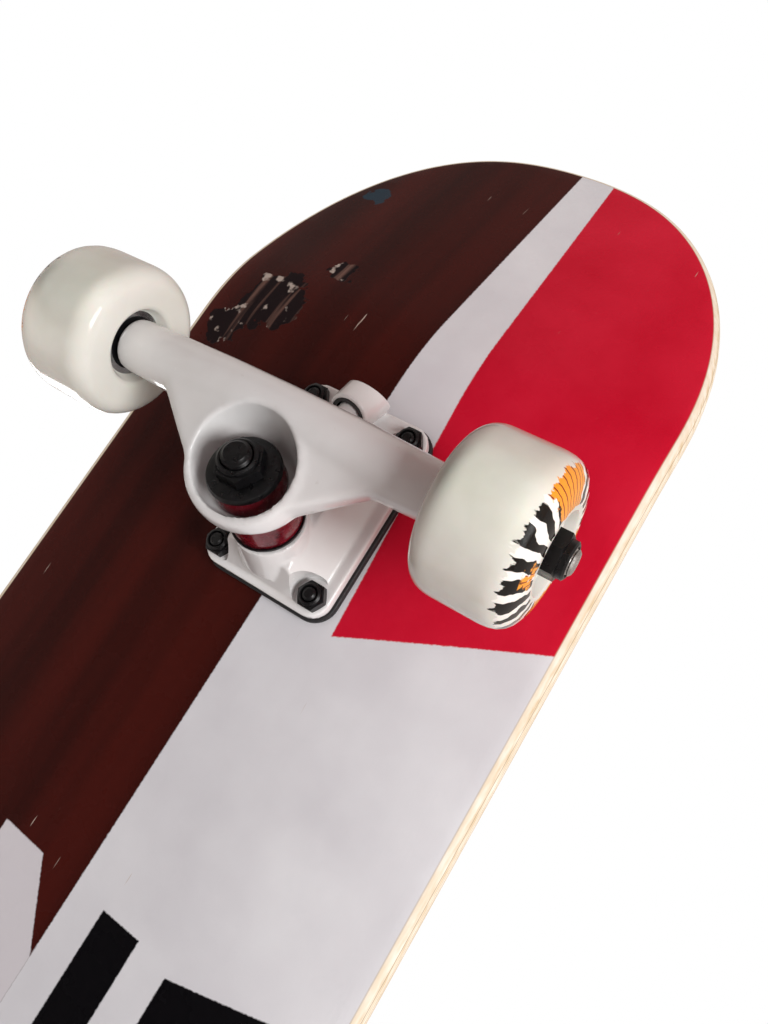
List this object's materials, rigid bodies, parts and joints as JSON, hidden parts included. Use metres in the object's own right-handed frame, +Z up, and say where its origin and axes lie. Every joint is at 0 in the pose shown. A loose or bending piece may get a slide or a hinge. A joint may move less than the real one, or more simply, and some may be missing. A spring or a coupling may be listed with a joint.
{
  "type": "skateboard",
  "caption": "Double-kick wooden skateboard with sprung kingpin trucks that steer, and free-spinning urethane wheels on ball bearings.",
  "frame": {"origin": "on the ground, under the middle of the deck", "axes": "+X along the board to the front tip, +Y across the board to its right wheels, +Z up"},
  "size_m": [0.802, 0.203, 0.1382],
  "materials": {
    "deck_wood": "painted maple veneer, gloss lacquer under, dark brown, white and red graphic",
    "grip_tape": "coarse black silicon carbide grit",
    "riser_rubber": "matte black rubber",
    "white_casting": "gloss white enamel on cast aluminium",
    "pivot_plastic": "black urethane",
    "black_steel": "black oxide steel",
    "bright_steel": "zinc plated steel",
    "bushing_urethane": "translucent dark red urethane",
    "wheel_urethane": "glossy cream white urethane",
    "bearing_steel": "polished bearing steel",
    "bearing_shield": "dark pressed shield",
    "cage_nylon": "natural nylon"
  },
  "bodies": {
    "board": {"deck": "deck_wood", "grip_tape": "grip_tape", "front_riser_pad": "riser_rubber", "front_baseplate": "white_casting", "front_pivot_cup": "pivot_plastic", "front_kingpin": "black_steel", "front_lower_cup_washer": "black_steel", "front_boardside_bushing": "bushing_urethane", "front_roadside_bushing": "bushing_urethane", "front_top_cup_washer": "black_steel", "front_kingpin_nut": "black_steel", "front_mounting_bolts": "black_steel", "front_mounting_nuts": "black_steel", "rear_riser_pad": "riser_rubber", "rear_baseplate": "white_casting", "rear_pivot_cup": "pivot_plastic", "rear_kingpin": "black_steel", "rear_lower_cup_washer": "black_steel", "rear_boardside_bushing": "bushing_urethane", "rear_roadside_bushing": "bushing_urethane", "rear_top_cup_washer": "black_steel", "rear_kingpin_nut": "black_steel", "rear_mounting_bolts": "black_steel", "rear_mounting_nuts": "black_steel"},
    "front_truck": {"front_hanger": "white_casting", "front_axle": "bright_steel", "front_speed_washers": "bright_steel", "front_axle_nuts": "black_steel", "front_bearing_inner_rings": "bearing_steel"},
    "front_left_wheel": {"front_left_wheel": "wheel_urethane", "front_left_bearing_outer_rings": "bearing_steel", "front_left_bearing_shields": "bearing_shield"},
    "front_left_ball_train": {"front_left_bearing_balls": "bearing_steel", "front_left_bearing_cages": "cage_nylon"},
    "front_right_wheel": {"front_right_wheel": "wheel_urethane", "front_right_bearing_outer_rings": "bearing_steel", "front_right_bearing_shields": "bearing_shield"},
    "front_right_ball_train": {"front_right_bearing_balls": "bearing_steel", "front_right_bearing_cages": "cage_nylon"},
    "rear_truck": {"rear_hanger": "white_casting", "rear_axle": "bright_steel", "rear_speed_washers": "bright_steel", "rear_axle_nuts": "black_steel", "rear_bearing_inner_rings": "bearing_steel"},
    "rear_left_wheel": {"rear_left_wheel": "wheel_urethane", "rear_left_bearing_outer_rings": "bearing_steel", "rear_left_bearing_shields": "bearing_shield"},
    "rear_left_ball_train": {"rear_left_bearing_balls": "bearing_steel", "rear_left_bearing_cages": "cage_nylon"},
    "rear_right_wheel": {"rear_right_wheel": "wheel_urethane", "rear_right_bearing_outer_rings": "bearing_steel", "rear_right_bearing_shields": "bearing_shield"},
    "rear_right_ball_train": {"rear_right_bearing_balls": "bearing_steel", "rear_right_bearing_cages": "cage_nylon"}
  },
  "joints": [
    {"name": "front_steer", "type": "hinge", "parent": "board", "child": "front_truck", "pos_m": [0.23, 0, 0.061], "axis": [0.8824, 0, 0.4706], "range_deg": [-15, 15], "stiffness_Nm_per_rad": 25, "deforming": ["front_boardside_bushing", "front_roadside_bushing"]},
    {"name": "front_left_spin", "type": "hinge", "parent": "front_truck", "child": "front_left_wheel", "pos_m": [0.2078, -0.0765, 0.026], "axis": [0, 1, 0], "continuous": true},
    {"name": "front_left_balls_roll", "type": "hinge", "parent": "front_truck", "child": "front_left_ball_train", "pos_m": [0.2078, -0.0765, 0.026], "axis": [0, 1, 0], "continuous": true},
    {"name": "front_right_spin", "type": "hinge", "parent": "front_truck", "child": "front_right_wheel", "pos_m": [0.2078, 0.0765, 0.026], "axis": [0, 1, 0], "continuous": true},
    {"name": "front_right_balls_roll", "type": "hinge", "parent": "front_truck", "child": "front_right_ball_train", "pos_m": [0.2078, 0.0765, 0.026], "axis": [0, 1, 0], "continuous": true},
    {"name": "rear_steer", "type": "hinge", "parent": "board", "child": "rear_truck", "pos_m": [-0.23, 0, 0.061], "axis": [-0.8824, 0, 0.4706], "range_deg": [-15, 15], "stiffness_Nm_per_rad": 25, "deforming": ["rear_boardside_bushing", "rear_roadside_bushing"]},
    {"name": "rear_left_spin", "type": "hinge", "parent": "rear_truck", "child": "rear_left_wheel", "pos_m": [-0.2078, -0.0765, 0.026], "axis": [0, 1, 0], "continuous": true},
    {"name": "rear_left_balls_roll", "type": "hinge", "parent": "rear_truck", "child": "rear_left_ball_train", "pos_m": [-0.2078, -0.0765, 0.026], "axis": [0, 1, 0], "continuous": true},
    {"name": "rear_right_spin", "type": "hinge", "parent": "rear_truck", "child": "rear_right_wheel", "pos_m": [-0.2078, 0.0765, 0.026], "axis": [0, 1, 0], "continuous": true},
    {"name": "rear_right_balls_roll", "type": "hinge", "parent": "rear_truck", "child": "rear_right_ball_train", "pos_m": [-0.2078, 0.0765, 0.026], "axis": [0, 1, 0], "continuous": true}
  ],
  "couplings": [
    {"joint": "front_left_balls_roll", "follows": "front_left_spin", "ratio": 0.63067},
    {"joint": "front_right_balls_roll", "follows": "front_right_spin", "ratio": 0.63067},
    {"joint": "rear_left_balls_roll", "follows": "rear_left_spin", "ratio": 0.63067},
    {"joint": "rear_right_balls_roll", "follows": "rear_right_spin", "ratio": 0.63067}
  ]
}
